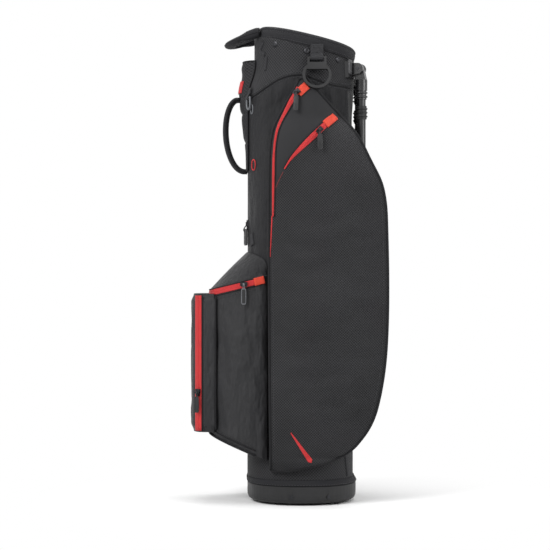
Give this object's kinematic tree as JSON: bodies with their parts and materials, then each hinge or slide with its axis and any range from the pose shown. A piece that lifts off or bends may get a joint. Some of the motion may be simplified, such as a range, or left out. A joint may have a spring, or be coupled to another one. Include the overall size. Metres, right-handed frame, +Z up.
{
  "type": "golf stand bag",
  "caption": "Upright golf stand bag with padded collar, club dividers, side, ball and front pockets, carry handles and folding legs worked by a heel plate.",
  "frame": {"origin": "ground point under the middle of the moulded base", "axes": "+Z up along the bag, +X towards the folding legs, -Y towards the near side pocket"},
  "size_m": [0.3561, 0.2898, 0.8671],
  "materials": {
    "mesh_fabric": "coated mesh weave",
    "padded_wrap": "smooth padded wrap",
    "soft_shell": "soft shell",
    "lining": "plain lining",
    "red_tape": "woven zip tape",
    "webbing": "woven webbing",
    "moulded_plastic": "moulded",
    "gloss_plastic": "glossy",
    "pull_rubber": "moulded",
    "grey_plastic": "satin",
    "leg_tube": "gloss black",
    "rubber": "moulded",
    "dark_metal": "dark plated"
  },
  "bodies": {
    "bag": {"base_shell": "moulded_plastic", "base_feet": "rubber", "base_screws": "dark_metal", "heel_pin": "dark_metal", "body_shell": "mesh_fabric", "stay_rods": "dark_metal", "long_divider": "lining", "near_divider": "lining", "far_divider": "lining", "top_collar": "moulded_plastic", "collar_padding": "padded_wrap", "collar_rivets": "dark_metal", "lift_handle": "padded_wrap", "spine_pad": "mesh_fabric", "carry_handle": "padded_wrap", "side_pocket_near": "mesh_fabric", "side_pocket_far": "mesh_fabric", "ball_pocket": "soft_shell", "front_pocket": "soft_shell", "upper_zip_tape": "red_tape", "lower_zip_tape": "red_tape", "far_zip_tape": "red_tape", "ball_zip_tape": "red_tape", "front_zip_tape": "red_tape", "towel_strap": "webbing", "upper_strap_tab": "webbing", "lower_strap_tab": "webbing", "leg_bracket": "gloss_plastic", "leg_pins": "dark_metal"},
    "heel": {"heel_plate": "moulded_plastic", "heel_pad": "rubber"},
    "yoke": {"rod_yoke": "moulded_plastic", "yoke_pins": "dark_metal"},
    "near_rod": {"push_rod_near": "dark_metal"},
    "far_rod": {"push_rod_far": "dark_metal"},
    "near_leg": {"leg_knuckle_near": "gloss_plastic", "leg_tube_near": "leg_tube", "leg_clamp_near": "moulded_plastic", "leg_foot_near": "rubber"},
    "far_leg": {"leg_knuckle_far": "gloss_plastic", "leg_tube_far": "leg_tube", "leg_clamp_far": "moulded_plastic", "leg_foot_far": "rubber"},
    "towel_ring": {"towel_ring": "moulded_plastic"},
    "upper_ring": {"upper_strap_ring": "grey_plastic"},
    "lower_ring": {"lower_strap_ring": "grey_plastic"},
    "upper_slider": {"upper_zip_slider": "dark_metal"},
    "upper_pull": {"upper_zip_pull": "pull_rubber"},
    "lower_slider": {"lower_zip_slider": "dark_metal"},
    "lower_pull": {"lower_zip_pull": "pull_rubber"},
    "far_slider": {"far_zip_slider": "dark_metal"},
    "far_pull": {"far_zip_pull": "pull_rubber"},
    "ball_slider": {"ball_zip_slider": "dark_metal"},
    "ball_pull": {"ball_zip_pull": "grey_plastic"},
    "front_slider": {"front_zip_slider": "dark_metal"},
    "front_pull": {"front_zip_pull": "pull_rubber"}
  },
  "joints": [
    {"name": "near_leg_swing", "type": "hinge", "parent": "bag", "child": "near_leg", "pos_m": [0.1047, -0.042, 0.79], "axis": [-0.309, -0.9511, 0], "range_deg": [0, 26]},
    {"name": "far_leg_swing", "type": "hinge", "parent": "bag", "child": "far_leg", "pos_m": [0.1047, 0.042, 0.79], "axis": [0.309, -0.9511, 0], "range_deg": [0, 26]},
    {"name": "yoke_lift", "type": "slide", "parent": "bag", "child": "yoke", "axis": [0, 0, 1], "range_m": [0, 0.0126]},
    {"name": "near_rod_swing", "type": "hinge", "parent": "yoke", "child": "near_rod", "pos_m": [0.083, -0.013, 0.0174], "axis": [0.309, 0.9511, 0], "range_deg": [0, 2.9]},
    {"name": "far_rod_swing", "type": "hinge", "parent": "yoke", "child": "far_rod", "pos_m": [0.083, 0.013, 0.0174], "axis": [-0.309, 0.9511, 0], "range_deg": [0, 2.9]},
    {"name": "heel_tilt", "type": "hinge", "parent": "bag", "child": "heel", "pos_m": [0.03, 0, 0.01], "axis": [0, -1, 0], "range_deg": [0, 12.4]},
    {"name": "towel_ring_swing", "type": "hinge", "parent": "bag", "child": "towel_ring", "pos_m": [0.026, -0.1017, 0.80276], "axis": [-1, 0, 0], "range_deg": [0, 110]},
    {"name": "upper_strap_ring_swing", "type": "hinge", "parent": "bag", "child": "upper_ring", "pos_m": [-0.09727, -0.04732, 0.737], "axis": [-0.3375, 0.9413, 0], "range_deg": [0, 100]},
    {"name": "lower_strap_ring_swing", "type": "hinge", "parent": "bag", "child": "lower_ring", "pos_m": [-0.10331, -0.02043, 0.497], "axis": [-0.1113, 0.9938, 0], "range_deg": [0, 100]},
    {"name": "upper_zip_run", "type": "slide", "parent": "bag", "child": "upper_slider", "axis": [-0.4944, -0.1639, -0.8536], "range_m": [-0.004, 0.012]},
    {"name": "lower_zip_run", "type": "slide", "parent": "bag", "child": "lower_slider", "axis": [-0.6913, -0.2884, -0.6625], "range_m": [-0.012, 0.016]},
    {"name": "far_zip_run", "type": "slide", "parent": "bag", "child": "far_slider", "axis": [-0.6913, 0.2884, -0.6625], "range_m": [-0.012, 0.016]},
    {"name": "ball_zip_run", "type": "slide", "parent": "bag", "child": "ball_slider", "axis": [-1, 0, 0], "range_m": [-0.012, 0.02]},
    {"name": "front_zip_run", "type": "slide", "parent": "bag", "child": "front_slider", "axis": [0, 0, 1], "range_m": [-0.057, 0.163]},
    {"name": "upper_pull_swing", "type": "hinge", "parent": "upper_slider", "child": "upper_pull", "pos_m": [-0.01124, -0.12284, 0.74114], "axis": [-0.9912, 0.1323, 0], "range_deg": [0, 110]},
    {"name": "lower_pull_swing", "type": "hinge", "parent": "lower_slider", "child": "lower_pull", "pos_m": [0.03031, -0.13786, 0.67164], "axis": [-0.9906, -0.1369, 0], "range_deg": [0, 110]},
    {"name": "far_pull_swing", "type": "hinge", "parent": "far_slider", "child": "far_pull", "pos_m": [0.03031, 0.13786, 0.67164], "axis": [0.9906, -0.1369, 0], "range_deg": [0, 110]},
    {"name": "ball_pull_swing", "type": "hinge", "parent": "ball_slider", "child": "ball_pull", "pos_m": [-0.105, -0.10575, 0.39719], "axis": [-1, 0, 0], "range_deg": [0, 110]},
    {"name": "front_pull_swing", "type": "hinge", "parent": "front_slider", "child": "front_pull", "pos_m": [-0.1899, -0.08374, 0.202], "axis": [-0.8754, 0.4834, 0], "range_deg": [0, 110]}
  ],
  "couplings": [
    {"joint": "far_leg_swing", "follows": "near_leg_swing", "ratio": 1},
    {"joint": "yoke_lift", "follows": "near_leg_swing", "m_per_rad": 0.027334},
    {"joint": "near_rod_swing", "follows": "near_leg_swing", "ratio": 0.11048},
    {"joint": "far_rod_swing", "follows": "near_leg_swing", "ratio": 0.11048},
    {"joint": "heel_tilt", "follows": "near_leg_swing", "ratio": 0.47127}
  ]
}
